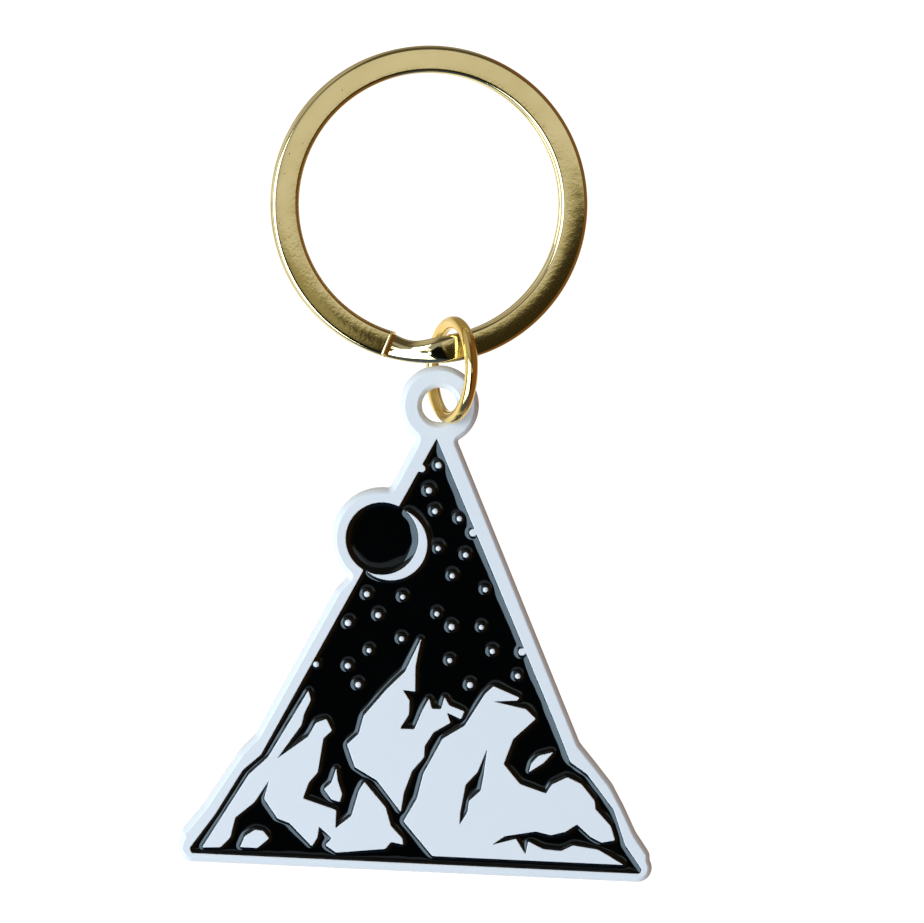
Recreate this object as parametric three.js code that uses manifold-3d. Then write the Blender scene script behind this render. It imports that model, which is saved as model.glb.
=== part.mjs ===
// An enamelled metal tag hanging from a split ring by a jump ring.
// Millimetres, +Z up, face towards -Y. The origin is the point inside the top of the split ring
// where a hook holds it, straight above the tag's eyelet.
import * as THREE from "three";
import { mergeVertices } from "three/addons/utils/BufferGeometryUtils.js";
import Module from "manifold-3d";

const wasm = await Module();
wasm.setup();

// Split ring: two turns of flat wire with one joggle from the front turn to the back turn.
// Its angles are degrees from straight down, positive towards +X, and fall along the wire.
// The back turn lies a little to one side of the front turn, and the ring hangs a little turned.
const RING_OUTER_RADIUS = 15.3;
const RING_INNER_RADIUS = 12.65;
const RING_TURN_THICKNESS = 0.96;
const RING_TURN_PITCH = 1.04;
const RING_EDGE_RADIUS = 0.36;
const RING_EDGE_CHAMFER = [0.15, 0.85];
const RING_BACK_TURN_ASIDE = -0.1;
const RING_HANGS_TURNED = 4.5;
const RING_FRONT_CUT = -13.6;
const RING_JOGGLE_START = -348;
const RING_JOGGLE_END = -374.5;
const RING_BACK_CUT = -707;
const RING_JOGGLE_NARROWING = 0.5;
const RING_STEP = 5;

// Jump ring: round wire closed with a butt joint, seen half turned.
const JUMP_RADIUS = 4.6;
const JUMP_WIRE_RADIUS = 0.65;
const JUMP_JOINT_GAP = 2;
const JUMP_JOINT_ANGLE = 255;
const JUMP_TURN = -67.5;
const JUMP_STEPS = 45;
const JUMP_SIDES = 10;
const JUMP_FROM_EYELET = new THREE.Vector3(0.97, -2.05, 3.55);

// Tag: a slab with an eyelet, rounded all round, and a recess that the enamel fills.
const TAG_THICKNESS = 2.3;
const TAG_SHOULDER = 0.5;
const EYELET_RADIUS = 3.85;
const EYELET_ARC = [-60, 237];
const EYELET_HOLE_RADIUS = 1.7;
const RECESS_DEPTH = 0.5;
const ENAMEL_BELOW_RIM = 0.15;
const ENAMEL_CLEARANCE = 0.04;
const MOON_RADIUS = 3.54;
const MOON_RIM_RADIUS = 4.9;
const MOON_CENTRE = new THREE.Vector2(-4.9, -13.2);
const MOON_SHADOW_OFFSET = new THREE.Vector2(0.9, -0.5);
const MOON_RIM_ARC = [84, 232];
const STAR_RADIUS = 0.38;
const LEFT_FOOT = { x: -21.8, z: -44.3, radius: 1.5, arc: [145, 270] };
const RIGHT_FOOT = { x: 21.8, z: -44.4, radius: 1.4, arc: [270, 395] };

// How finely curves are stepped, how far cuts run past what they cut, and where mitres are cut off.
const TAG_CURVE_STEPS = 26;
const MOON_STEPS = 40;
const STAR_STEPS = 10;
const CUT_ABOVE_FACE = -1;
const CUT_MARGIN = 0.1;
const MITRE_CUT_OFF = 2;
const MITRE_LONGEST = 10;

// The tag hangs straight below the origin, a little behind the split ring's own plane.
const RING_CENTRE_FROM_EYELET = new THREE.Vector2(-1.96, 19.32);
const RING_CENTRE_Z = -Math.sqrt(RING_INNER_RADIUS ** 2 - RING_CENTRE_FROM_EYELET.x ** 2);
const EYELET = new THREE.Vector3(0, 1.4, RING_CENTRE_Z - RING_CENTRE_FROM_EYELET.y);

// Outlines on the tag's face, [x, z] from the eyelet's centre.
const SKY = [
  [-0.1, -3.2], [-15.6, -34.9], [-17.3, -36.5], [-19.8, -41], [-22.1, -44.4], [-21.9, -44.9],
  [22, -44.9], [22.2, -44.5], [20.4, -42.1], [19.1, -38.7], [16.3, -35.3], [14.6, -34.2], [12.7, -30],
];
const NECK = [[-2.3, -4], [-4, -7.6]];
const LEFT_SIDE = [[-9.1, -18.4], [-16.2, -33], [-17.7, -34.7], [-21, -40.2], [-23, -42.9]];
const RIGHT_SIDE = [[22.9, -42.9], [21.5, -41], [20.2, -38.5], [18.9, -36.3], [17.1, -34.2], [15.5, -32.4]];
const LEFT_RANGE = [
  [-11.3, -28.4], [-11, -29.3], [-11.6, -30.7], [-11.8, -31.8], [-14, -35.2], [-11.1, -32.9],
  [-10.4, -31.5], [-9.4, -31.1], [-8.8, -32.2], [-9.6, -33], [-10, -36.4], [-10.8, -37.4],
  [-11.3, -39], [-8, -40], [-8, -41.8], [-6.5, -40.5], [-5.9, -38], [-5.4, -37.1],
  [-3.2, -39.5], [-2.6, -41.3], [-1.4, -42.5], [-1.3, -43.1], [-2.5, -42.9], [-3, -43.6],
  [-7.8, -44.2], [-8.9, -43.5], [-8.3, -42.8], [-9.6, -41.7], [-9.7, -42.8], [-10.2, -43.7],
  [-12.5, -41.5], [-13.7, -41.1], [-15.1, -39.2], [-14.7, -37.4], [-16, -39.6], [-17.8, -41.2],
  [-18.2, -43.2], [-19.1, -44.2], [-20.9, -44.3], [-16.7, -36.9], [-14.9, -35.1],
];
const LEFT_FOOTHILL = [
  [-17.2, -44.1], [-16.8, -43], [-15.8, -42.3], [-15, -42.4], [-14.4, -43.1], [-15.5, -44.1],
];
const GULLY_ISLAND = [
  [-8.2, -35.9], [-8, -37.1], [-7.5, -38.4], [-7.7, -39.2], [-8.5, -39], [-9.3, -38], [-8.6, -37.3],
];
const MIDDLE_PEAK = [
  [-0.6, -22.8], [-1, -25.5], [-0.9, -28], [-2.1, -27.9], [-1.4, -28.9], [-1.4, -30.3],
  [-2.2, -31.7], [-0.8, -31.7], [-0.1, -29.8], [0.5, -28.6], [0.8, -29.6], [1.7, -29.6],
  [2, -28.4], [2.5, -29.2], [4, -29.7], [3.7, -30.5], [2.3, -29.9], [2.7, -30.9], [1.1, -31.9],
  [0.3, -33.3], [0.3, -34.4], [-0.8, -35.8], [-1.5, -38], [-1.7, -39.9], [-4.2, -36.9],
  [-6.4, -35.7], [-7.3, -33.5], [-6.2, -32.4], [-5.8, -30.6], [-3.7, -27.9], [-2, -26.1],
];
const RIGHT_RANGE = [
  [6.7, -27.1], [9.3, -28.1], [9.1, -28.4], [6.8, -28.6], [10, -29.2], [11, -30.1], [8.9, -32.2],
  [8.1, -34.7], [9.8, -36.6], [12.4, -37.4], [12.9, -36.5], [14.4, -35.7], [15.8, -36.3],
  [17.2, -37.9], [17.3, -38.7], [18.9, -40.3], [19.4, -41.7], [18.1, -42], [17, -41.5],
  [15.6, -40.3], [14.5, -41.1], [13.1, -41.5], [11.6, -41.2], [8.6, -41.8], [7.4, -42.7],
  [9.7, -42], [10.7, -43.5], [10.9, -42.2], [12.4, -42.9], [14.2, -43], [15.3, -42.4],
  [17.8, -42.7], [20.4, -44.1], [1.6, -44.1], [-1.4, -40.8], [-0.2, -38.5], [0.3, -36], [2, -32.5],
  [4.1, -31.1], [5.9, -27.9],
];
const RIGHT_ISLAND = [[10.6, -35.4], [10.8, -34.5], [11.5, -33.7], [12.9, -33.3], [12, -34.4]];
const CREVICE = [
  [6.4, -33.3], [6.2, -35.9], [6, -37.4], [4.9, -38.5], [4.8, -39.6], [4.1, -40.9], [4.1, -39.7],
  [4.5, -36.9], [5.6, -35.6],
];
const STARS = [
  [0.2, -5.8], [-0.6, -8.3], [0.1, -10.3], [2.5, -10.9], [0.6, -13.9], [3.3, -14.4], [2.1, -16.5],
  [5.4, -17.7], [-6.1, -18.7], [-2.6, -18.8], [0.8, -20.3], [2.3, -21.5], [5.2, -21.4], [-4.9, -20.7],
  [-7.8, -21.6], [-2.5, -22.9], [-5.6, -24.2], [-7.6, -25.8], [2.3, -24.8], [6.4, -23.7], [9, -26],
  [4.4, -27.1], [-6.5, -27.6], [-1.4, -6.2], [3.9, -12.2], [-10.7, -25.8], [9.3, -23.6],
];

const material = (color, roughness, metalness) =>
  new THREE.MeshStandardMaterial({ color, roughness, metalness });
const GOLD_PLATE = material(0xcdb566, 0.25, 1);
const BRIGHT_GOLD = material(0xdcc06a, 0.18, 1);
const WHITE_DYED_METAL = material(0xd5e2ee, 0.45, 0);
const BLACK_ENAMEL = material(0x040506, 0.08, 0);

// A closed skin over a row of sections with equally many points, with a flat face at each end.
function loft(sections) {
  const size = sections[0].length;
  const indices = [];
  for (let row = 0; row + 1 < sections.length; row++) {
    for (let i = 0; i < size; i++) {
      const a = row * size + i;
      const b = row * size + ((i + 1) % size);
      indices.push(a, a + size, b + size, a, b + size, b);
    }
  }
  const last = (sections.length - 1) * size;
  for (let i = 1; i + 1 < size; i++) {
    indices.push(0, i, i + 1);
    indices.push(last, last + i + 1, last + i);
  }
  const geometry = new THREE.BufferGeometry().setFromPoints(sections.flat());
  geometry.setIndex(indices);
  geometry.computeVertexNormals();
  return geometry;
}

// The point at a distance from the Y axis, at an angle in degrees from straight down.
function polar(radius, y, angle) {
  const turn = THREE.MathUtils.degToRad(angle);
  return new THREE.Vector3(radius * Math.sin(turn), y, -radius * Math.cos(turn));
}

// The share of the joggle passed at an angle, from 0 on the front turn to 1 on the back turn.
function joggleShare(angle) {
  return THREE.MathUtils.smoothstep(-angle, -RING_JOGGLE_START, -RING_JOGGLE_END);
}

function ringSection(angle) {
  const share = joggleShare(angle);
  const y = RING_TURN_PITCH * (share - 0.5);
  const inner = RING_INNER_RADIUS + RING_JOGGLE_NARROWING * Math.sin(Math.PI * share);
  const middle = (inner + RING_OUTER_RADIUS) / 2;
  const halfWidth = (RING_OUTER_RADIUS - inner) / 2 - RING_EDGE_RADIUS;
  const halfThickness = RING_TURN_THICKNESS / 2 - RING_EDGE_RADIUS;
  const aside = new THREE.Vector3(RING_BACK_TURN_ASIDE * share, y, 0);
  const points = [];
  for (let corner = 0; corner < 4; corner++) {
    const side = corner === 0 || corner === 3 ? 1 : -1;
    const face = corner < 2 ? 1 : -1;
    for (const part of RING_EDGE_CHAMFER) {
      const turn = (corner + part) * (Math.PI / 2);
      const radius = middle + side * halfWidth + RING_EDGE_RADIUS * Math.cos(turn);
      const depth = face * halfThickness + RING_EDGE_RADIUS * Math.sin(turn);
      points.push(polar(radius, depth, angle).add(aside));
    }
  }
  return points;
}

function splitRing() {
  const steps = Math.round((RING_FRONT_CUT - RING_BACK_CUT) / RING_STEP);
  const sections = [];
  for (let i = 0; i <= steps; i++) {
    sections.push(ringSection(THREE.MathUtils.lerp(RING_FRONT_CUT, RING_BACK_CUT, i / steps)));
  }
  const ring = new THREE.Mesh(loft(sections), GOLD_PLATE);
  ring.name = "split_ring";
  ring.position.set(RING_CENTRE_FROM_EYELET.x, 0, RING_CENTRE_Z);
  ring.rotation.z = THREE.MathUtils.degToRad(RING_HANGS_TURNED);
  return ring;
}

function jumpRing() {
  const sections = [];
  for (let i = 0; i <= JUMP_STEPS; i++) {
    const angle = JUMP_JOINT_ANGLE - JUMP_JOINT_GAP / 2 - (360 - JUMP_JOINT_GAP) * (i / JUMP_STEPS);
    const section = [];
    for (let side = 0; side < JUMP_SIDES; side++) {
      const turn = (2 * Math.PI * side) / JUMP_SIDES;
      const radius = JUMP_RADIUS + JUMP_WIRE_RADIUS * Math.cos(turn);
      section.push(polar(radius, JUMP_WIRE_RADIUS * Math.sin(turn), angle));
    }
    sections.push(section);
  }
  const ring = new THREE.Mesh(loft(sections), BRIGHT_GOLD);
  ring.name = "jump_ring";
  ring.position.addVectors(EYELET, JUMP_FROM_EYELET);
  ring.rotation.z = THREE.MathUtils.degToRad(JUMP_TURN);
  return ring;
}

const toPoints = (outline) => outline.map(([x, z]) => new THREE.Vector2(x, z));

function circlePoints(x, z, radius, count) {
  const points = [];
  for (let i = 0; i < count; i++) {
    const turn = (2 * Math.PI * i) / count;
    points.push(new THREE.Vector2(x + radius * Math.cos(turn), z + radius * Math.sin(turn)));
  }
  return points;
}

// The outline moved outwards by a distance, or inwards if it is negative. Sharp corners are cut off.
function offsetOutline(points, distance) {
  const turned = THREE.ShapeUtils.isClockWise(points) ? [...points].reverse() : points;
  const moved = [];
  for (let i = 0; i < turned.length; i++) {
    const before = turned[(i + turned.length - 1) % turned.length];
    const corner = turned[i];
    const after = turned[(i + 1) % turned.length];
    const [normalIn, normalOut] = [[before, corner], [corner, after]].map(([from, to]) =>
      new THREE.Vector2(to.y - from.y, from.x - to.x).normalize());
    const middle = normalIn.clone().add(normalOut).normalize();
    const reach = 1 / Math.max(middle.dot(normalIn), 1 / MITRE_LONGEST);
    const opensOut = distance * normalIn.cross(normalOut) > 0;
    if (opensOut && reach > MITRE_CUT_OFF) {
      [normalIn, middle, normalOut].forEach((way) => {
        moved.push(corner.clone().addScaledVector(way, distance));
      });
    } else {
      moved.push(corner.clone().addScaledVector(middle, distance * reach));
    }
  }
  return moved;
}

// A manifold solid of a three.js geometry, and back.
function toSolid(geometry) {
  const bare = geometry.clone();
  bare.deleteAttribute("normal");
  bare.deleteAttribute("uv");
  const merged = mergeVertices(bare, 1e-4);
  return new wasm.Manifold(new wasm.Mesh({
    numProp: 3,
    vertProperties: merged.attributes.position.array,
    triVerts: new Uint32Array(merged.index.array),
  }));
}

function toGeometry(solid) {
  const mesh = solid.getMesh();
  const geometry = new THREE.BufferGeometry();
  geometry.setAttribute("position", new THREE.BufferAttribute(mesh.vertProperties, 3));
  geometry.setIndex(new THREE.BufferAttribute(mesh.triVerts, 1));
  geometry.computeVertexNormals();
  return geometry;
}

// A prism of an outline on the face, between two depths below the tag's front face.
function prism(points, nearDepth, farDepth) {
  const shape = new THREE.Shape(points);
  const geometry = new THREE.ExtrudeGeometry(shape, { depth: farDepth - nearDepth, bevelEnabled: false });
  geometry.rotateX(Math.PI / 2);
  geometry.translate(0, farDepth - TAG_THICKNESS / 2, 0);
  return toSolid(geometry);
}

// The tag's silhouette: round eyelet, straight flanks, the moon's bulge, wide foot, round corners.
function silhouette() {
  const shape = new THREE.Shape();
  const addArc = (x, z, radius, [from, to]) =>
    shape.absarc(x, z, radius, THREE.MathUtils.degToRad(from), THREE.MathUtils.degToRad(to), false);
  const addFoot = ({ x, z, radius, arc }) => addArc(x, z, radius, arc);
  addArc(0, 0, EYELET_RADIUS, EYELET_ARC);
  NECK.forEach(([x, z]) => shape.lineTo(x, z));
  addArc(MOON_CENTRE.x, MOON_CENTRE.y, MOON_RIM_RADIUS, MOON_RIM_ARC);
  LEFT_SIDE.forEach(([x, z]) => shape.lineTo(x, z));
  addFoot(LEFT_FOOT);
  addFoot(RIGHT_FOOT);
  RIGHT_SIDE.forEach(([x, z]) => shape.lineTo(x, z));
  const hole = new THREE.Path();
  hole.absarc(0, 0, EYELET_HOLE_RADIUS, 0, 2 * Math.PI, true);
  shape.holes.push(hole);
  return shape;
}

function slab() {
  const geometry = new THREE.ExtrudeGeometry(silhouette(), {
    depth: TAG_THICKNESS - 2 * TAG_SHOULDER,
    bevelThickness: TAG_SHOULDER,
    bevelSize: TAG_SHOULDER,
    bevelOffset: -TAG_SHOULDER,
    bevelSegments: 2,
    curveSegments: TAG_CURVE_STEPS,
  });
  geometry.rotateX(Math.PI / 2);
  geometry.translate(0, TAG_THICKNESS / 2 - TAG_SHOULDER, 0);
  return toSolid(geometry);
}

// The lit crescent: the moon's disc moved aside, less the disc itself.
function crescent(nearDepth, farDepth, growth) {
  const lit = MOON_CENTRE.clone().add(MOON_SHADOW_OFFSET);
  const litDisc = prism(circlePoints(lit.x, lit.y, MOON_RADIUS + growth, MOON_STEPS), nearDepth, farDepth);
  const dark = circlePoints(MOON_CENTRE.x, MOON_CENTRE.y, MOON_RADIUS - growth, MOON_STEPS);
  return litDisc.subtract(prism(dark, nearDepth, farDepth));
}

// Everything raised out of the recess: snow, crescent and stars, each grown by a clearance.
function raisedArt(nearDepth, farDepth, growth) {
  const patches = [LEFT_RANGE, LEFT_FOOTHILL, GULLY_ISLAND, MIDDLE_PEAK, RIGHT_RANGE, RIGHT_ISLAND];
  const solids = patches.map((patch) =>
    prism(growth > 0 ? offsetOutline(toPoints(patch), growth) : toPoints(patch), nearDepth, farDepth));
  const stars = STARS.map(([x, z]) =>
    prism(circlePoints(x, z, STAR_RADIUS + growth, STAR_STEPS), nearDepth, farDepth));
  return [...solids, ...stars].reduce(
    (whole, next) => whole.add(next),
    crescent(nearDepth, farDepth, growth),
  );
}

// The black area: the night sky and the moon's disc, without what is raised.
function darkArea(nearDepth, farDepth, growth) {
  const sky = prism(offsetOutline(toPoints(SKY), -growth), nearDepth, farDepth);
  const disc = circlePoints(MOON_CENTRE.x, MOON_CENTRE.y, MOON_RADIUS - growth, MOON_STEPS);
  const raisedNear = nearDepth - CUT_MARGIN;
  const raisedFar = farDepth + CUT_MARGIN;
  return sky.add(prism(disc, nearDepth, farDepth)).subtract(raisedArt(raisedNear, raisedFar, growth));
}

function tagBase() {
  const crevice = prism(toPoints(CREVICE), CUT_ABOVE_FACE, RECESS_DEPTH);
  const solid = slab().subtract(darkArea(CUT_ABOVE_FACE, RECESS_DEPTH, 0)).subtract(crevice);
  const base = new THREE.Mesh(toGeometry(solid), WHITE_DYED_METAL);
  base.name = "tag_base";
  return base;
}

function enamelSky() {
  const solid = darkArea(ENAMEL_BELOW_RIM, RECESS_DEPTH - ENAMEL_CLEARANCE, ENAMEL_CLEARANCE);
  const enamel = new THREE.Mesh(toGeometry(solid), BLACK_ENAMEL);
  enamel.name = "enamel_sky";
  return enamel;
}

function enamelCrevice() {
  const outline = offsetOutline(toPoints(CREVICE), -ENAMEL_CLEARANCE);
  const solid = prism(outline, ENAMEL_BELOW_RIM, RECESS_DEPTH - ENAMEL_CLEARANCE);
  const enamel = new THREE.Mesh(toGeometry(solid), BLACK_ENAMEL);
  enamel.name = "enamel_crevice";
  return enamel;
}

const tag = new THREE.Group();
tag.position.copy(EYELET);
tag.add(tagBase(), enamelSky(), enamelCrevice());

const keychain = new THREE.Group();
keychain.add(splitRing(), jumpRing(), tag);

export default keychain;
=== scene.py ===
import math

import bpy
import numpy as np
from mathutils import Matrix, Vector, kdtree, noise
from mathutils.geometry import delaunay_2d_cdt


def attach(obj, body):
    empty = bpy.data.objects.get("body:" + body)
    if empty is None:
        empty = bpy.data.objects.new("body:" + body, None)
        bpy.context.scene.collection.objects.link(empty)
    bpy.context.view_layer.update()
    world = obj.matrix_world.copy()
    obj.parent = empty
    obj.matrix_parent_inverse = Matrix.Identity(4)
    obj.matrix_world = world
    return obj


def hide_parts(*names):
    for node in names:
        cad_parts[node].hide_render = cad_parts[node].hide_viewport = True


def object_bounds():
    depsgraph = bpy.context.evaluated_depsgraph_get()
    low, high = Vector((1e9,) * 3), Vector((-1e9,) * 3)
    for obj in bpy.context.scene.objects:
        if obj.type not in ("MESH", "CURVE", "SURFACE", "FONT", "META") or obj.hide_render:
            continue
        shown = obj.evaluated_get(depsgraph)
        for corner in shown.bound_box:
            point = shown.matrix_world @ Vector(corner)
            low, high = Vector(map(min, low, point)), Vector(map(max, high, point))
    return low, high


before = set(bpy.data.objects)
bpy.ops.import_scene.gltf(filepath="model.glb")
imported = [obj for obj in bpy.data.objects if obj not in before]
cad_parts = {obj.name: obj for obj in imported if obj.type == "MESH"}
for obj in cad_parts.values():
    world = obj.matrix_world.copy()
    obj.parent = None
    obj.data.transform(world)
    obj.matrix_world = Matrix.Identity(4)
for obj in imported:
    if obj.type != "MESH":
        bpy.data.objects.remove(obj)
CAD_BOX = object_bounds()
MM = 0.001
SAME_DEPTH = 2e-3  # in millimetres

# Sizes in millimetres and angles in degrees, in the frame's axes: X right, Y away from the face, Z up.
# Angles round a ring run from its foot, towards the right where they are positive.
RING_CENTRE = (-1.96, 0.0, -12.497)
RING_OUTER_RADIUS = 15.3
RING_INNER_RADIUS = 12.65
RING_TURN_THICKNESS = 0.96
RING_TURN_PITCH = 1.04
RING_BACK_TURN_ASIDE = -0.1
RING_HANGS_TURNED = 4.5
RING_EDGE_RADIUS = 0.35
RING_SKIN = 0.018  # how far the wire stays inside its solid
RING_FRONT_CUT = -13.6
RING_BACK_CUT = -707.0
RING_CUT_SLANT = 3.0
RING_CUT_REACH = 6.0  # how far round the wire the slant of a cut end fades
RING_JOGGLE = (-351.0, -378.0)
RING_JOGGLE_NARROWING = 0.5
RING_JOGGLE_TWIST = 4.0
RING_DOME = (-347.0, -361.0, -375.0, -384.0)  # the joggle's domed face: rises, has risen, falls, has fallen
RING_DOME_RADIUS = 1.25
RING_CROWN = 0.011
RING_CROWN_AT = (0.92, 0.5, 0.0, -0.5, -0.92)
RING_ARC_STEPS = 7
RING_SECTION_EVERY = 1.25

JUMP_CENTRE = (0.97, -0.65, -28.267)
JUMP_TURN = -67.5
JUMP_RADIUS = 4.6
JUMP_WIRE_RADIUS = 0.625
JUMP_JOINT_ANGLE = 255.0
JUMP_JOINT_GAP = 1.0
JUMP_LIPS = ((0.0, 0.8), (0.0018, 0.93))  # shares of the wire's length, and its thickness there
JUMP_LIPS_END = 0.0048  # the share where the wire has its full thickness
JUMP_STEPS = 176
JUMP_SIDES = 28

TAG_FRONT = 0.25
TAG_BACK = 2.55
TAG_SHOULDER = 0.5
SHOULDER_POWER = 1.3  # 2 is a quarter circle, and 1 a flat chamfer
SHOULDER_STEPS = 8
EYELET_SIDES = 96
RECESS_FLOOR = 0.75
ART_BEVEL = 0.06
ART_BEVEL_STEPS = (0, math.pi / 6, math.pi / 3, math.pi / 2)
STAR_AREA = 0.6  # in square millimetres: a floor outline below this is a star's
STAR_RADIUS = 0.305
STAR_UNEVEN = 0.035
STAR_SIDES = 28
# Shares of a star's radius, and how far its top has dropped there.
STAR_DOME = ((0.12, 0.0), (0.34, 0.008), (0.56, 0.024), (0.76, 0.052), (0.92, 0.1), (1.0, 0.17))
LOOP_LEAST = 12
LOOP_FINE_STEP = 0.02
# The spacing of the points along each kind of outline, and how far its corners are softened.
OUTLINE_SMOOTH = (0.16, 0.14)
RECESS_SMOOTH = (0.1, 0.1)
POOL_SMOOTH = (0.1, 0.07)
PATCH_SMOOTH = (0.1, 0.09)

ENAMEL_FLAT = 0.61
ENAMEL_RISE = 0.295
ENAMEL_BACK = 0.71
ENAMEL_OVERLAP = 0.012
# Grids of points in the enamel: spacing, and the nearest and furthest that they lie from a wall.
ENAMEL_GRIDS = ((0.1, 0.055, 0.85), (0.24, 0.85, 99.0))
# The enamel's climb at its walls: its width, which is uneven, and wider along the sky's right flank and
# round the moon.
CLIMB_WIDTH = 0.18
CLIMB_UNEVEN = 0.35
CLIMB_UNEVEN_SIZE = 1.6
CLIMB_WIDER = (0.75, 0.8)
SKY_TOP = -35.03
SKY_FLANK_SLOPE = 0.47
SKY_FLANK_FADE = 1.2
MOON_CENTRE = (-4.9, -45.017)
MOON_REACH = 3.7
MOON_REACH_FADE = 0.3
RELAX_STEPS = 400
RELAX_SETTLED = 1e-12


# ---------------------------------------------------------------- mesh tools
def merged(node):
    """The node's points in millimetres, shared between its faces, and its faces."""
    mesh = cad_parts[node].data
    keys, points, index = {}, [], []
    for vertex in mesh.vertices:
        point = vertex.co / MM
        key = tuple(round(c, 3) for c in point)
        if key not in keys:
            keys[key] = len(points)
            points.append(tuple(point))
        index.append(keys[key])
    faces = [[index[v] for v in p.vertices] for p in mesh.polygons]
    return np.array(points), faces


def chains(edges):
    """Closed chains of directed edges."""
    following = {a: b for a, b in edges}
    loops = []
    while following:
        start = next(iter(following))
        loop = [start]
        while following[loop[-1]] != start:
            loop.append(following[loop[-1]])
        for v in loop:
            del following[v]
        loops.append(loop)
    return loops


def plane_loops(points, faces, y):
    """The outlines of the flat area at a depth, each an (n, 2) array of x and z."""
    edges = set()
    for face in faces:
        if all(abs(points[v][1] - y) < SAME_DEPTH for v in face):
            for a, b in zip(face, face[1:] + face[:1]):
                if (b, a) in edges:
                    edges.remove((b, a))
                else:
                    edges.add((a, b))
    return [points[loop][:, [0, 2]] for loop in chains(sorted(edges))]


def wall_loops(points, faces, near, far):
    """The outlines of the upright walls that run between two depths."""
    edges = []
    for face in faces:
        depths = [points[v][1] for v in face]
        if max(depths) > far - 5 * SAME_DEPTH and min(depths) < near + 5 * SAME_DEPTH:
            for a, b in zip(face, face[1:] + face[:1]):
                if abs(points[a][1] - near) < SAME_DEPTH and abs(points[b][1] - near) < SAME_DEPTH:
                    edges.append((a, b))
    return [points[loop][:, [0, 2]] for loop in chains(edges)]


def signed_area(loop):
    x, z = loop.T
    return 0.5 * np.sum(x * np.roll(z, -1) - np.roll(x, -1) * z)


def smooth_loop(loop, step, sigma):
    """The loop with its corners softened over about sigma, as points about step apart."""
    closed = np.vstack([loop, loop[:1]])
    run = np.concatenate([[0], np.cumsum(np.hypot(*np.diff(closed, axis=0).T))])
    count = max(LOOP_LEAST, int(round(run[-1] / step)))
    fine = count * max(1, int(math.ceil(step / LOOP_FINE_STEP)))
    at = np.arange(fine) * run[-1] / fine
    line = np.interp(at, run, closed[:, 0]) + 1j * np.interp(at, run, closed[:, 1])
    frequency = np.fft.fftfreq(fine, d=run[-1] / fine)
    line = np.fft.ifft(np.fft.fft(line) * np.exp(-2 * (math.pi * sigma * frequency) ** 2))
    line = line[:: fine // count]
    out = np.column_stack([line.real, line.imag])
    return out if signed_area(out) > 0 else out[::-1]


def grown(loop, distance):
    """An anticlockwise loop moved outwards by a distance, or less where it would cross itself."""
    ahead = np.roll(loop, -1, axis=0) - loop
    back = np.roll(ahead, 1, axis=0)
    gap = np.maximum(np.linalg.norm(ahead, axis=1), 1e-6)
    turning = back[:, 0] * ahead[:, 1] - back[:, 1] * ahead[:, 0]
    bend = turning / (gap * np.roll(gap, 1)) / (0.5 * (gap + np.roll(gap, 1)))
    # The move stays within the local radius, and changes slowly from point to point.
    reach = np.minimum(abs(distance), 0.6 / np.maximum(-math.copysign(1, distance) * bend, 1e-6))
    for _ in range(8):
        reach = np.minimum(reach, np.minimum(np.roll(reach, 1), np.roll(reach, -1)) + 0.35 * gap)
    along = ahead + back
    along /= np.linalg.norm(along, axis=1)[:, None]
    side = np.column_stack([along[:, 1], -along[:, 0]])
    return loop + math.copysign(1, distance) * reach[:, None] * side


def circle(centre, radius, count):
    turn = np.arange(count) * 2 * math.pi / count
    return np.column_stack([centre[0] + radius * np.cos(turn), centre[1] + radius * np.sin(turn)])


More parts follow.
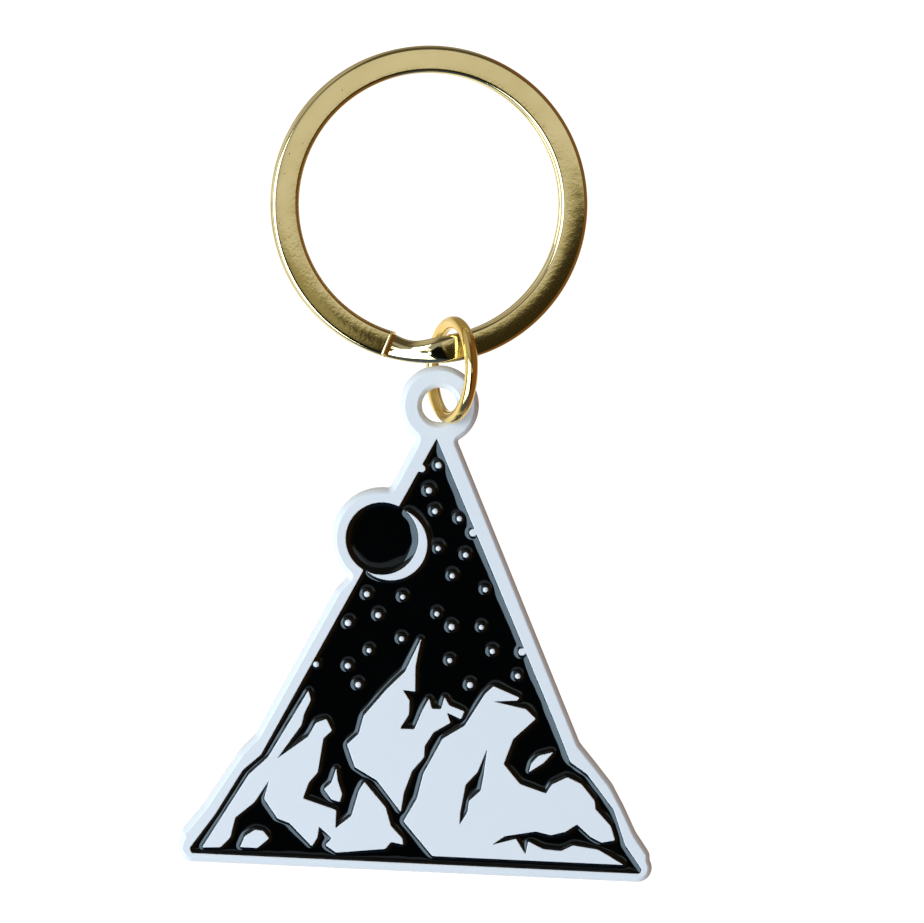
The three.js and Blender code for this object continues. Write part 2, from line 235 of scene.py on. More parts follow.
class Body:
    """A mesh put together from rings of points and the areas between them."""

    def __init__(self):
        self.points = []
        self.faces = []
        self.flat = []

    def ring(self, loop, y):
        start = len(self.points)
        self.points.extend((x, y, z) for x, z in loop)
        return list(range(start, len(self.points)))

    def bridge(self, first, second):
        """Faces between two rings of the same length; out is to the left going round."""
        n = len(first)
        for i in range(n):
            j = (i + 1) % n
            self.faces.append((first[i], first[j], second[j], second[i]))
            self.flat.append(False)

    def skin(self, rings, facing_in):
        """Faces from each ring to the next, as a hole's wall or as an outside."""
        for first, second in zip(rings, rings[1:]):
            if facing_in:
                self.bridge(first, second)
            else:
                self.bridge(second, first)

    def fill(self, rings, towards_front, extra=()):
        """Triangles over the area that the rings enclose, even-odd, through the extra points."""
        ids = [v for ring in rings for v in ring] + list(extra)
        flat = [Vector((self.points[v][0], self.points[v][2])) for v in ids]
        edges, start = [], 0
        for ring in rings:
            n = len(ring)
            edges += [(start + i, start + (i + 1) % n) for i in range(n)]
            start += n
        spots, lines, tris, origin, drawn, _ = delaunay_2d_cdt(flat, edges, [], 0, 1e-7)
        walls = {frozenset(line) for line, sources in zip(lines, drawn) if len(sources) % 2}
        depth = self.points[ids[0]][1]
        corners = []
        for spot, sources in zip(spots, origin):
            if not sources:
                self.points.append((spot[0], depth, spot[1]))
            corners.append(ids[sources[0]] if sources else len(self.points) - 1)
        # Which triangles lie within: from the outside inwards, crossing a wall each time changes it.
        sides = {}
        for number, tri in enumerate(tris):
            for a, b in zip(tri, tri[1:] + tri[:1]):
                sides.setdefault(frozenset((a, b)), []).append(number)
        within, waiting = {}, []
        for edge, owners in sides.items():
            if len(owners) == 1 and owners[0] not in within:
                within[owners[0]] = edge in walls
                waiting.append(owners[0])
        while waiting:
            number = waiting.pop()
            tri = tris[number]
            for a, b in zip(tri, tri[1:] + tri[:1]):
                edge = frozenset((a, b))
                for other in sides[edge]:
                    if other not in within:
                        within[other] = within[number] != (edge in walls)
                        waiting.append(other)
        made = []
        for number, tri in enumerate(tris):
            if within.get(number):
                a, b, c = (corners[v] for v in tri)
                (ax, _, az), (bx, _, bz), (cx, _, cz) = (self.points[v] for v in (a, b, c))
                anticlockwise = (bx - ax) * (cz - az) - (cx - ax) * (bz - az) > 0
                face = (a, b, c) if anticlockwise == towards_front else (a, c, b)
                made.append(face)
                self.faces.append(face)
                self.flat.append(True)
        return made

    def build(self, name, material, body, nodes):
        mesh = bpy.data.meshes.new(name)
        used = sorted({v for face in self.faces for v in face})
        place = {v: k for k, v in enumerate(used)}
        scaled = [Vector(self.points[v]) * MM for v in used]
        mesh.from_pydata(scaled, [], [[place[v] for v in face] for face in self.faces])
        mesh.polygons.foreach_set("use_smooth", [not f for f in self.flat])
        mesh.materials.append(material)
        mesh.validate()
        mesh.update()
        piece = bpy.data.objects.new(name, mesh)
        bpy.context.scene.collection.objects.link(piece)
        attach(piece, body)
        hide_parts(*nodes)
        return piece


# ---------------------------------------------------------------- node tools
class Nodes:
    """A node tree, with short calls for what the materials and the room share."""

    def __init__(self, tree, coordinates):
        self.tree = tree
        self.place = tree.nodes.new("ShaderNodeTexCoord").outputs[coordinates]

    def node(self, kind, **values):
        made = self.tree.nodes.new(kind)
        for key, value in values.items():
            setattr(made, key, value)
        return made

    def link(self, source, target):
        self.tree.links.new(source, target)

    def split(self, vector):
        made = self.node("ShaderNodeSeparateXYZ")
        self.link(vector, made.inputs[0])
        return made.outputs

    def range(self, value, low, high, to_low=0.0, to_high=1.0, shape="LINEAR"):
        made = self.node("ShaderNodeMapRange", interpolation_type=shape)
        for name, number in (("From Min", low), ("From Max", high), ("To Min", to_low), ("To Max", to_high)):
            made.inputs[name].default_value = number
        self.link(value, made.inputs["Value"])
        return made.outputs["Result"]

    def math(self, operation, first, second):
        made = self.node("ShaderNodeMath", operation=operation)
        for socket, value in zip(made.inputs, (first, second)):
            if isinstance(value, (int, float)):
                socket.default_value = value
            else:
                self.link(value, socket)
        return made.outputs[0]

    def blend(self, factor, first, second):
        made = self.node("ShaderNodeMix", data_type="RGBA")
        colours = [s for s in made.inputs if s.type == "RGBA"]
        for socket, value in zip((made.inputs[0], *colours), (factor, first, second)):
            if isinstance(value, tuple):
                socket.default_value = (*value, 1.0)
            elif isinstance(value, (int, float)):
                socket.default_value = value
            else:
                self.link(value, socket)
        return next(s for s in made.outputs if s.type == "RGBA")


class Finish(Nodes):
    """A material's nodes, which end at its shader."""

    def __init__(self, name):
        self.material = bpy.data.materials.new(name)
        self.material.use_nodes = True
        super().__init__(self.material.node_tree, "Object")
        self.shader = next(n for n in self.tree.nodes if n.type == "BSDF_PRINCIPLED")

    def noise(self, size, detail=3.0, rough=0.5, vector=None):
        """Noise with features of about size millimetres."""
        made = self.node("ShaderNodeTexNoise")
        made.inputs["Scale"].default_value = 1 / (size * MM)
        made.inputs["Detail"].default_value = detail
        made.inputs["Roughness"].default_value = rough
        self.link(vector or self.place, made.inputs["Vector"])
        return made.outputs["Fac"]

    def spots(self, size, share):
        """Round specks about size millimetres apart: 1 in a speck, 0 elsewhere."""
        made = self.node("ShaderNodeTexVoronoi")
        made.inputs["Scale"].default_value = 1 / (size * MM)
        self.link(self.place, made.inputs["Vector"])
        return self.range(made.outputs["Distance"], share, share * 0.55)

    def bumps(self, *layers):
        """Bump layers, each a height and the height's size in millimetres."""
        normal = None
        for height, size in layers:
            bump = self.node("ShaderNodeBump")
            bump.inputs["Distance"].default_value = size * MM
            self.link(height, bump.inputs["Height"])
            if normal:
                self.link(normal, bump.inputs["Normal"])
            normal = bump.outputs["Normal"]
        self.link(normal, self.shader.inputs["Normal"])

    def set(self, **values):
        for key, value in values.items():
            socket = self.shader.inputs[key.replace("_", " ")]
            if hasattr(value, "is_linked"):
                self.link(value, socket)
            else:
                socket.default_value = value
        return self.material


def white_metal():
    n = Finish("dyed_white_metal")
    cloud = n.noise(3.0)
    grain = n.noise(0.16, 2.0)
    specks = n.spots(1.3, 0.035)
    colour = n.blend(cloud, (0.815, 0.815, 0.825), (0.78, 0.785, 0.80))
    colour = n.blend(n.math("MULTIPLY", specks, 0.5), colour, (0.42, 0.43, 0.44))
    n.bumps((n.noise(1.6, 2.0), 0.012), (grain, 0.0016))
    rough = n.math("ADD", n.range(cloud, 0.3, 0.7, 0.28, 0.36), n.math("MULTIPLY", grain, 0.08))
    return n.set(
        **{"Base Color": colour}, Roughness=rough, Coat_Weight=0.35, Coat_Roughness=0.12, Coat_IOR=1.5,
    )


def black_enamel():
    n = Finish("black_enamel")
    dust = n.spots(2.1, 0.022)
    smear = n.noise(6.0, 4.0)
    colour = n.blend(n.math("MULTIPLY", dust, 0.3), (0.0007, 0.0008, 0.0009), (0.08, 0.08, 0.09))
    n.bumps((n.noise(2.6, 1.0), 0.006), (n.noise(0.5, 1.0), 0.0006))
    rough = n.range(smear, 0.3, 0.7, 0.045, 0.085)
    return n.set(
        **{"Base Color": colour}, Roughness=rough, IOR=1.5, Specular_Tint=(0.78, 0.93, 1.0, 1.0),
        Coat_Weight=0.12, Coat_Roughness=0.03, Coat_IOR=1.5,
    )


def gold(name, base, worn, rough_low, rough_high, centre):
    """Brushed plating, with the brush marks in circles about the centre."""
    n = Finish(name)
    from_centre = n.node("ShaderNodeVectorMath", operation="SUBTRACT")
    n.link(n.place, from_centre.inputs[0])
    from_centre.inputs[1].default_value = Vector(centre) * MM
    distance = n.node("ShaderNodeVectorMath", operation="LENGTH")
    n.link(from_centre.outputs[0], distance.inputs[0])
    rings = n.node("ShaderNodeCombineXYZ")
    n.link(distance.outputs["Value"], rings.inputs["X"])
    cloud = n.noise(4.0, 4.0)
    brushed = n.noise(0.09, 3.0, 0.6, rings.outputs[0])
    grain = n.noise(0.14, 3.0, 0.65)
    specks = n.spots(0.9, 0.075)
    pits = n.math("MULTIPLY", specks, n.range(n.noise(2.2, 1.0), 0.5, 0.62))
    colour = n.blend(n.range(cloud, 0.35, 0.7), base, worn)
    colour = n.blend(n.math("MULTIPLY", pits, 0.7), colour, tuple(c * 0.35 for c in worn))
    ripple, wave = n.noise(0.32, 2.0), n.noise(1.3, 2.0)
    n.bumps((brushed, 0.0003), (grain, 0.0007), (ripple, 0.0016), (wave, 0.003), (pits, -0.006))
    rough = n.math("ADD", n.range(cloud, 0.3, 0.7, rough_low, rough_high), n.math("MULTIPLY", grain, 0.03))
    return n.set(**{"Base Color": colour}, Metallic=1.0, Roughness=rough)


WHITE = white_metal()
BLACK = black_enamel()
GOLD_RING = gold("pale_gold_plate", (0.83, 0.71, 0.38), (0.76, 0.63, 0.31), 0.03, 0.05, RING_CENTRE)
GOLD_WIRE = gold("bright_gold_plate", (0.91, 0.68, 0.25), (0.85, 0.60, 0.19), 0.08, 0.12, JUMP_CENTRE)


# ---------------------------------------------------------------- tag
tag_points, tag_faces = merged("tag_base")
floor_loops = plane_loops(tag_points, tag_faces, RECESS_FLOOR)
side_loops = wall_loops(tag_points, tag_faces, TAG_FRONT + TAG_SHOULDER, TAG_BACK - TAG_SHOULDER)
side_loops.sort(key=lambda loop: -abs(signed_area(loop)))
outline = smooth_loop(side_loops[0], *OUTLINE_SMOOTH)
hole_centre = side_loops[1].mean(axis=0)
hole_radius = np.linalg.norm(side_loops[1] - hole_centre, axis=1).mean()

floor_loops.sort(key=lambda loop: -abs(signed_area(loop)))
recess = smooth_loop(floor_loops[0], *RECESS_SMOOTH)
stars, patches, pools = [], [], []
for loop in floor_loops[1:]:
    if abs(signed_area(loop)) < STAR_AREA:
        star = loop.mean(axis=0)
        radius = STAR_RADIUS + STAR_UNEVEN * math.sin(5 * star[0] + 3 * star[1])
        stars.append(circle(star, radius, STAR_SIDES))
    elif signed_area(loop) * signed_area(floor_loops[0]) > 0:
        pools.append(smooth_loop(loop, *POOL_SMOOTH))
    else:
        patches.append(smooth_loop(loop, *PATCH_SMOOTH))


def tag_base():
    body = Body()
    # Rounded shoulders and side walls of the outline and the eyelet, front to back.
    profile = []
    for k in range(SHOULDER_STEPS + 1):
        turn = math.pi / 2 * k / SHOULDER_STEPS
        inset = TAG_SHOULDER * (1 - math.sin(turn) ** (2 / SHOULDER_POWER))
        depth = TAG_SHOULDER * (1 - abs(math.cos(turn)) ** (2 / SHOULDER_POWER))
        profile.append((inset, TAG_FRONT + depth))
    profile += [(inset, TAG_FRONT + TAG_BACK - y) for inset, y in reversed(profile)]
    outer = [body.ring(grown(outline, -inset), y) for inset, y in profile]
    body.skin(outer, False)
    eyelet = [body.ring(circle(hole_centre, hole_radius + inset, EYELET_SIDES), y) for inset, y in profile]
    body.skin(eyelet, True)
    body.fill([outer[-1], eyelet[-1]], False)
    # Walls of the recess, with a small round at their top edge.
    bevel = [(ART_BEVEL * (1 - math.sin(turn)), TAG_FRONT + ART_BEVEL * (1 - math.cos(turn)))
             for turn in ART_BEVEL_STEPS]
    tops, floors = [], []
    for walls, outward in (([recess] + pools, 1), (patches, -1)):
        for wall in walls:
            rings = [body.ring(grown(wall, outward * inset), y) for inset, y in bevel]
            rings.append(body.ring(wall, RECESS_FLOOR))
            body.skin(rings, outward > 0)
            tops.append(rings[0])
            floors.append(rings[-1])
    for wall in stars:
        centre = wall.mean(axis=0)
        radius = np.linalg.norm(wall[0] - centre)
        rings = [body.ring(circle(centre, radius * share, STAR_SIDES), TAG_FRONT + drop)
                 for share, drop in STAR_DOME]
        rings.append(body.ring(wall, RECESS_FLOOR))
        body.skin(rings, False)
        body.faces.append(tuple(rings[0]))
        body.flat.append(False)
        floors.append(rings[-1])
    body.fill([outer[0], eyelet[0]] + tops, True)
    body.fill(floors, True)
    return body.build("tag_body", WHITE, "tag", ["tag_base"])


def hexagons(low, high, spacing):
    """A grid of points in staggered rows over a rectangle."""
    rows = np.arange(low[1], high[1], spacing * math.sqrt(0.75))
    columns = np.arange(low[0], high[0], spacing)
    grid = [(x + (spacing / 2 if i % 2 else 0), z) for i, z in enumerate(rows) for x in columns]
    return np.array(grid)


def inside(points, loops):
    """Which points lie in the even-odd area of the loops."""
    within = np.zeros(len(points), bool)
    for loop in loops:
        low, high = loop.min(axis=0), loop.max(axis=0)
        near = np.flatnonzero(np.all((points >= low) & (points <= high), axis=1))
        x, z = points[near, 0], points[near, 1]
        odd = np.zeros(len(near), bool)
        for (ax, az), (bx, bz) in zip(loop, np.roll(loop, -1, axis=0)):
            crosses = (az > z) != (bz > z)
            if crosses.any():
                at = ax + (z - az) * (bx - ax) / (bz - az if bz != az else 1)
                odd ^= crosses & (x < at)
        within[near] ^= odd
    return within


def relax(points, triangles, fixed, value, width):
    """Heights that start from the fixed edge values and settle to nought over the local width.

    They solve a stretched membrane's equation on the triangles, by conjugate gradients.
    """
    tri = np.array(triangles)
    p = points[tri]
    weight = []
    for k in range(3):
        a, b, c = p[:, k], p[:, (k + 1) % 3], p[:, (k + 2) % 3]
        u, v = a - c, b - c
        cross = np.abs(u[:, 0] * v[:, 1] - u[:, 1] * v[:, 0])
        weight.append(0.5 * np.maximum(np.sum(u * v, axis=1) / np.maximum(cross, 1e-9), 0.02))
    i = np.concatenate([tri[:, 0], tri[:, 1], tri[:, 2]])
    j = np.concatenate([tri[:, 1], tri[:, 2], tri[:, 0]])
    w = np.concatenate(weight)
    e1, e2 = p[:, 1] - p[:, 0], p[:, 2] - p[:, 0]
    area = 0.5 * np.abs(e1[:, 0] * e2[:, 1] - e1[:, 1] * e2[:, 0])
    n = len(points)
    mass = np.bincount(tri.ravel(), np.repeat(area / 3, 3), n) / width ** 2
    diagonal = np.maximum(np.bincount(i, w, n) + np.bincount(j, w, n) + mass, 1e-6)
    free = ~fixed

    def product(h):
        out = diagonal * h
        out -= np.bincount(i, w * h[j], n) + np.bincount(j, w * h[i], n)
        return out

    h = np.where(fixed, value, 0.0)
    r = np.where(free, -product(h), 0.0)
    z = r / diagonal
    d = z.copy()
    rz = r @ z
    for _ in range(RELAX_STEPS):
        q = np.where(free, product(np.where(free, d, 0.0)), 0.0)
        alpha = rz / (d @ q)
        h = h + alpha * d
        r = r - alpha * q
        z = r / diagonal
        new = r @ z
        if new < RELAX_SETTLED:
            break
        d = z + new / rz * d
        rz = new
    return h


def enamel(name, rim, islands, nodes):
    """A pool of enamel between walls: level in the middle, drawn up where it meets a wall."""
    body = Body()
    walls = [grown(rim, ENAMEL_OVERLAP)] + [grown(island, -ENAMEL_OVERLAP) for island in islands]
    fronts = [body.ring(wall, 0.0) for wall in walls]
    edge_points = np.vstack(walls)
    tree = kdtree.KDTree(len(edge_points))
    for k, p in enumerate(edge_points):
        tree.insert((p[0], p[1], 0), k)
    tree.balance()
    low, high = edge_points.min(axis=0), edge_points.max(axis=0)
    kept = []
    for spacing, nearest, furthest in ENAMEL_GRIDS:
        grid = hexagons(low, high, spacing)
        grid = grid[inside(grid, walls)]
        gap = np.array([tree.find((p[0], p[1], 0))[2] for p in grid])
        kept.append(grid[(gap > nearest) & (gap <= furthest)])
    middle = body.ring(np.vstack(kept), 0.0)
    top = body.fill(fronts, True, middle)
    flat = np.array([(x, z) for x, _, z in body.points])
    edge = np.zeros(len(flat), bool)
    edge[: len(edge_points)] = True
    size = CLIMB_UNEVEN_SIZE
    uneven = np.array([noise.noise(Vector((x / size, z / size, 3.1))) for x, z in flat])
    past_flank = flat[:, 0] + SKY_FLANK_SLOPE * (flat[:, 1] - SKY_TOP)
    by_flank = np.clip(past_flank / SKY_FLANK_FADE + 1, 0, 1)
    from_moon = np.linalg.norm(flat - np.array(MOON_CENTRE), axis=1)
    wide = np.maximum(by_flank, np.clip((MOON_REACH - from_moon) / MOON_REACH_FADE, 0, 1))
    wider, wider_uneven = CLIMB_WIDER
    width = CLIMB_WIDTH * (1 + CLIMB_UNEVEN * uneven) * (1 + wide * (wider + wider_uneven * uneven))
    height = relax(flat, top, edge, ENAMEL_RISE, width)
    body.points = [(x, ENAMEL_FLAT - h, z) for (x, z), h in zip(flat, height)]
    body.flat = [False] * len(body.flat)
    # Side walls and the back, which lie against the recess.
    backs = [body.ring(wall, ENAMEL_BACK) for wall in walls]
    for k, sides in enumerate(zip(fronts, backs)):
        body.skin(sides, k > 0)
    body.fill(backs, False)
    return body.build(name, BLACK, "tag", nodes)


# ---------------------------------------------------------------- rings
def polar(radius, y, angle):
    turn = math.radians(angle)
    return Vector((radius * math.sin(turn), y, -radius * math.cos(turn)))


def loft(sections, name, material, body_name, nodes):
    """A wire through its sections, with a flat face at each end."""
    body = Body()
    size = len(sections[0])
    rows = []
    for section in sections:
        start = len(body.points)
        body.points.extend(section)
        rows.append(list(range(start, start + size)))
    body.skin(rows, False)
    body.faces += [tuple(reversed(rows[0])), tuple(rows[-1])]
    body.flat += [True, True]
    return body.build(name, material, body_name, nodes)


def smoothstep(value, low, high):
    t = min(1.0, max(0.0, (value - low) / (high - low)))
    return t * t * (3 - 2 * t)


def ring_outline(middle, half_width, half_thickness, across, through):
    """The wire's section as (radius, depth): a box with round corners and slightly crowned faces."""
    spots = []
    for corner in range(4):
        side = 1 if corner in (0, 3) else -1
        face = 1 if corner < 2 else -1
        for step in range(RING_ARC_STEPS + 1):
            turn = (corner + step / RING_ARC_STEPS) * math.pi / 2
            spots.append((middle + side * half_width + across * math.cos(turn),
                          face * half_thickness + through * math.sin(turn)))
        if corner in (0, 2):
            for u in RING_CROWN_AT:
                spots.append((middle + side * u * half_width,
                              face * (half_thickness + through + RING_CROWN * (1 - u * u))))
    return spots


def cut_slant(front, lean):
    """How far round the ring a cut end leans, by the shares of the wire's thickness and width."""
    return RING_CUT_SLANT * (0.45 - 0.7 * front + 0.35 * (0.5 - lean))


def split_ring():
    turned = Matrix.Rotation(math.radians(RING_HANGS_TURNED), 3, "Z")
    sections = []
    count = int((RING_FRONT_CUT - RING_BACK_CUT) / RING_SECTION_EVERY)
    for i in range(count + 1):
        angle = RING_FRONT_CUT + (RING_BACK_CUT - RING_FRONT_CUT) * i / count
        share = smoothstep(-angle, -RING_JOGGLE[0], -RING_JOGGLE[1])
        rising, risen, falling, fallen = (-a for a in RING_DOME)
        dome = smoothstep(-angle, rising, risen) * (1 - smoothstep(-angle, falling, fallen))
        inner = RING_INNER_RADIUS + RING_JOGGLE_NARROWING * math.sin(math.pi * share)
        middle = (inner + RING_OUTER_RADIUS) / 2
        across = RING_EDGE_RADIUS + (RING_DOME_RADIUS - RING_EDGE_RADIUS) * dome
        through = RING_EDGE_RADIUS + (RING_TURN_THICKNESS / 2 - 2 * RING_SKIN - RING_EDGE_RADIUS) * dome
        half_width = (RING_OUTER_RADIUS - inner) / 2 - RING_SKIN - across
        half_thickness = RING_TURN_THICKNESS / 2 - RING_SKIN - RING_CROWN - through
        near_cut = max(0.0, 1 - (RING_FRONT_CUT - angle) / RING_CUT_REACH)
        near_end = max(0.0, 1 - (angle - RING_BACK_CUT) / RING_CUT_REACH)
        section = []
        for radius, depth in ring_outline(middle, half_width, half_thickness, across, through):
            front = 0.5 - depth / RING_TURN_THICKNESS
            lean = (radius - RING_INNER_RADIUS) / (RING_OUTER_RADIUS - RING_INNER_RADIUS)
            twist = RING_JOGGLE_TWIST * (lean - 0.5)
            own = smoothstep(-angle, -RING_JOGGLE[0] - twist, -RING_JOGGLE[1] - twist)
            y = RING_TURN_PITCH * (own - 0.5)
            slant = near_cut * cut_slant(front, lean) - near_end * cut_slant(1 - front, lean)
            place = polar(radius, y + depth, angle + slant) + Vector((RING_BACK_TURN_ASIDE * own, 0, 0))
            section.append(tuple(turned @ place + Vector(RING_CENTRE)))
        sections.append(section)
    return loft(sections, "key_ring_wire", GOLD_RING, "key_ring", ["split_ring"])


def jump_ring():
    turned = Matrix.Rotation(math.radians(JUMP_TURN), 3, "Z")
    stations = list(JUMP_LIPS)
    stations += [(share, 1.0) for share in np.linspace(JUMP_LIPS_END, 1 - JUMP_LIPS_END, JUMP_STEPS)]
    stations += [(1 - share, swell) for share, swell in reversed(JUMP_LIPS)]
    sections = []
    for share, swell in stations:
        angle = JUMP_JOINT_ANGLE - JUMP_JOINT_GAP / 2 - (360 - JUMP_JOINT_GAP) * share
        section = []
        for side in range(JUMP_SIDES):
            turn = 2 * math.pi * side / JUMP_SIDES
            radius = JUMP_RADIUS + swell * JUMP_WIRE_RADIUS * math.cos(turn)
            place = polar(radius, swell * JUMP_WIRE_RADIUS * math.sin(turn), angle)
            section.append(tuple(turned @ place + Vector(JUMP_CENTRE)))
        sections.append(section)
    return loft(sections, "jump_ring_wire", GOLD_WIRE, "connector", ["jump_ring"])


tag_base()
enamel("sky_enamel", recess, patches + stars, ["enamel_sky"])
enamel("crevice_enamel", pools[0], pools[1:], ["enamel_crevice"])
split_ring()
jump_ring()


# ---------------------------------------------------------------- stage
# Lengths in metres from here on, and radiance in watts per square metre and steradian.
FLOOR_DROP = 0.035
FLOOR_RADIUS = 0.6
FLOOR_SIDES = 96
CURVE_RADIUS = 0.5
CURVE_STEPS = 12
WALL_HEIGHT = 3.0
# The painted lane of light in the backdrop's glow: full from the first distance, gone at the second.
LANE_SIDES = (0.08, 0.2)
LANE_FRONT = (0.12, -0.2)
LANE_SPREAD = 0.15
# The slanting top of the room's dark part, by direction: from left to right, its slope and its height.
SHADE_LINE_SPAN = (0.14, 0.24)
SHADE_LINE_SLOPE = 0.356
SHADE_LINE_HEIGHT = -0.0735
WINDOW_AZIMUTH = math.radians(41)
WINDOW_WAY = Vector((-math.sin(WINDOW_AZIMUTH), -math.cos(WINDOW_AZIMUTH), -0.28))
WINDOW_SIZE = (1.04, 1.25)
WINDOW_RADIANCE = 4.7
WINDOW_COLOUR = (0.72, 0.87, 1.0)
FILL_WAY = Vector((0.75, 0.66, 0.1))
FILL_SIZE = (1.0, 1.0)
FILL_RADIANCE = 0.85
FILL_COLOUR = (1.0, 0.99, 0.97)


def stage_material():
    """Pale paper that glows, with a soft painted lane of light in its glow, straight behind the object."""
    n = Finish("pale_paper_painted_lane")
    x, y, _ = n.split(n.place)
    beside = n.math("SUBTRACT", n.math("ABSOLUTE", x, 0.0), n.math("MULTIPLY", y, LANE_SPREAD))
    outside = n.math("MAXIMUM", n.range(beside, *LANE_SIDES), n.range(y, *LANE_FRONT))
    # Painted light: the backdrop glows fully in a lane straight behind the object and dimmer elsewhere.
    glow_with_painted_lane = n.blend(outside, (1.0, 1.0, 1.0), (0.70, 0.705, 0.715))
    colour = n.blend(n.noise(40.0, 5.0), (0.27, 0.27, 0.27), (0.23, 0.23, 0.23))
    n.bumps((n.noise(2.0, 3.0), 0.05))
    return n.set(**{"Base Color": colour, "Emission Color": glow_with_painted_lane}, Roughness=0.9, Emission_Strength=1.0)


def backdrop():
    """A round floor that curves up all round into a wall."""
    profile = [(0.3, 0.0), (FLOOR_RADIUS, 0.0)]
    for k in range(1, CURVE_STEPS + 1):
        turn = math.pi / 2 * k / CURVE_STEPS
        profile.append((FLOOR_RADIUS + CURVE_RADIUS * math.sin(turn), CURVE_RADIUS * (1 - math.cos(turn))))
    profile.append((FLOOR_RADIUS + CURVE_RADIUS, WALL_HEIGHT))
    low = CAD_BOX[0].z - FLOOR_DROP
    turns = FLOOR_SIDES
    points = [(0.0, 0.0, low)]
    for r, z in profile:
        points += [(x, y, low + z) for x, y in circle((0.0, 0.0), r, turns)]
    faces = [(0, 1 + i, 1 + (i + 1) % turns) for i in range(turns)]
    for row in range(len(profile) - 1):
        start = 1 + row * turns
        for i in range(turns):
            j = (i + 1) % turns
            faces.append((start + i, start + turns + i, start + turns + j, start + j))
    mesh = bpy.data.meshes.new("backdrop")
    mesh.from_pydata(points, [], faces)
    mesh.polygons.foreach_set("use_smooth", [True] * len(faces))
    mesh.materials.append(stage_material())
    piece = bpy.data.objects.new("backdrop", mesh)
    bpy.context.scene.collection.objects.link(piece)
    piece.visible_glossy = False
    piece.visible_diffuse = False
    piece.visible_shadow = False


def area_light(name, place, target, width, height, radiance, colour):
    """A rectangular light as bright as its radiance says, which the camera doesn't see."""
    data = bpy.data.lights.new(name, "AREA")
    data.shape = "RECTANGLE"
    data.size, data.size_y = width, height
    data.energy = math.pi * width * height * radiance
    data.color = colour
    lamp = bpy.data.objects.new(name, data)
    bpy.context.scene.collection.objects.link(lamp)
    lamp.location = place
    lamp.rotation_euler = (Vector(target) - Vector(place)).to_track_quat("-Z", "Y").to_euler()
    lamp.visible_camera = False
    return lamp


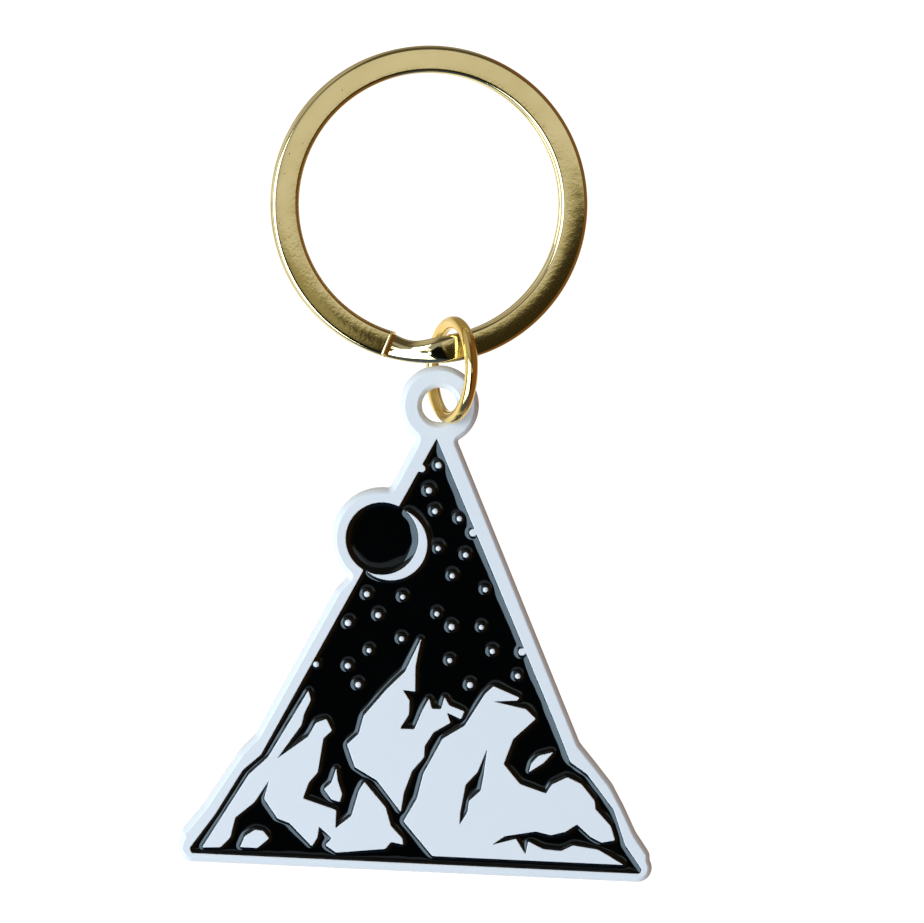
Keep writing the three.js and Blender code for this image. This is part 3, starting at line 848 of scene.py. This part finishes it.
def surroundings():
    """A plain room, by direction: bright behind, dark low in front, dim on the right and overhead."""
    world = bpy.data.worlds.new("room")
    bpy.context.scene.world = world
    world.use_nodes = True
    n = Nodes(world.node_tree, "Generated")
    x, y, z = n.split(n.place)
    ways = {"right": x, "back": y, "up": z}
    for way, opposite in (("left", x), ("front", y), ("down", z)):
        ways[way] = n.math("MULTIPLY", opposite, -1.0)
    # The dark part in front ends upwards at a slanting line.
    low_x, high_x = SHADE_LINE_SPAN
    line = n.math("MULTIPLY", n.math("MAXIMUM", n.math("MINIMUM", x, high_x), low_x), SHADE_LINE_SLOPE)
    ways["over line"] = n.math("SUBTRACT", z, n.math("ADD", line, SHADE_LINE_HEIGHT))

    def paint(under, over, *edges):
        """One colour over another inside the edges, each a way and where the colour starts and is full."""
        share = 1.0
        for way, start, full in edges:
            mask = n.range(ways[way], min(start, full), max(start, full), shape="SMOOTHSTEP")
            if start > full:
                mask = n.math("SUBTRACT", 1.0, mask)
            share = n.math("MULTIPLY", share, mask)
        return n.blend(share, under, over)

    rightward = ("right", -0.05, 0.1)
    behind_high = paint((0.85, 0.84, 0.80), (0.34, 0.31, 0.27), rightward)
    behind_high = paint(behind_high, (0.34, 0.30, 0.22), ("up", 0.3, 0.6))
    behind_low = paint((1.1, 1.1, 1.07), (0.80, 0.78, 0.74), rightward)
    behind = paint(behind_high, behind_low, ("down", -0.3, 0.1))
    shade = paint((0.004, 0.004, 0.004), (0.034, 0.026, 0.010), ("right", 0.1, 0.15))
    olive_strip = (("right", 0.095, 0.11), ("right", 0.165, 0.145), ("up", -0.08, -0.055))
    shade = paint(shade, (0.34, 0.31, 0.18), *olive_strip)
    shade = paint(shade, (0.07, 0.10, 0.18), ("down", 0.45, 0.8))
    ahead = ("front", -0.1, 0.25)
    right_half = ("right", 0.06, 0.11)
    room = (0.10, 0.085, 0.06)
    for colour, *edges in (
        # Overhead, high on the left, the left wall, and all that is behind the object.
        ((0.30, 0.28, 0.26), ("up", 0.8, 0.95)),
        ((0.55, 0.52, 0.45), ("left", 0.15, 0.4), ("up", 0.25, 0.45)),
        ((0.46, 0.48, 0.50), ("left", 0.72, 0.9)),
        (behind, ("back", -0.15, 0.35)),
        # In front: a pale panel, the soft edge of the dark part, the dark part, and a grey band left of them.
        ((0.72, 0.71, 0.67), ("front", 0.2, 0.8), ("up", 0.13, 0.08), right_half, ("right", 0.33, 0.27)),
        ((0.42, 0.38, 0.20), ("over line", 0.012, -0.002), ahead, right_half),
        (shade, ("over line", 0.0, -0.012), ahead),
        ((0.40, 0.40, 0.42), ("up", -0.05, -0.035), ("up", 0.25, 0.15), ahead, ("left", 0.75, 0.6),
         ("right", 0.11, 0.06)),
        # The warm wall on the right.
        ((0.21, 0.10, 0.035), ("right", 0.3, 0.5), ("back", 0.6, 0.35)),
    ):
        room = paint(room, colour, *edges)
    background = world.node_tree.nodes["Background"]
    n.link(room, background.inputs["Color"])
    background.inputs["Strength"].default_value = 1.0


backdrop()
surroundings()
centre = (CAD_BOX[0] + CAD_BOX[1]) / 2
area_light("window", centre + WINDOW_WAY, centre, *WINDOW_SIZE, WINDOW_RADIANCE, WINDOW_COLOUR)
fill = area_light("fill", centre + FILL_WAY, centre, *FILL_SIZE, FILL_RADIANCE, FILL_COLOUR)
fill.visible_glossy = False


# ---------------------------------------------------------------- camera
CAMERA_AIM = Vector((0.00245, 0.0, -0.03711))
CAMERA_DISTANCE = 0.35
CAMERA_TURN = (2.0, 4.0, 3.02)  # degrees: towards the left, upwards, and of roll
CAMERA_LENS = 140.6
CAMERA_SENSOR = 36.0


def camera():
    azimuth, elevation, roll = (math.radians(a) for a in CAMERA_TURN)
    back = Vector((-math.sin(azimuth) * math.cos(elevation), -math.cos(azimuth) * math.cos(elevation),
                   math.sin(elevation)))
    across = (-back).cross(Vector((0, 0, 1))).normalized()
    up = across.cross(-back)
    right = across * math.cos(roll) + up * math.sin(roll)
    top = up * math.cos(roll) - across * math.sin(roll)
    data = bpy.data.cameras.new("camera")
    data.lens = CAMERA_LENS
    data.sensor_width = CAMERA_SENSOR
    data.sensor_fit = "HORIZONTAL"
    data.clip_start = 0.01
    data.dof.use_dof = False
    made = bpy.data.objects.new("camera", data)
    bpy.context.scene.collection.objects.link(made)
    turn = Matrix((right, top, back)).transposed().to_4x4()
    made.matrix_world = Matrix.Translation(CAMERA_AIM + CAMERA_DISTANCE * back) @ turn
    bpy.context.scene.camera = made


camera()
bpy.context.scene.view_settings.view_transform = "Standard"
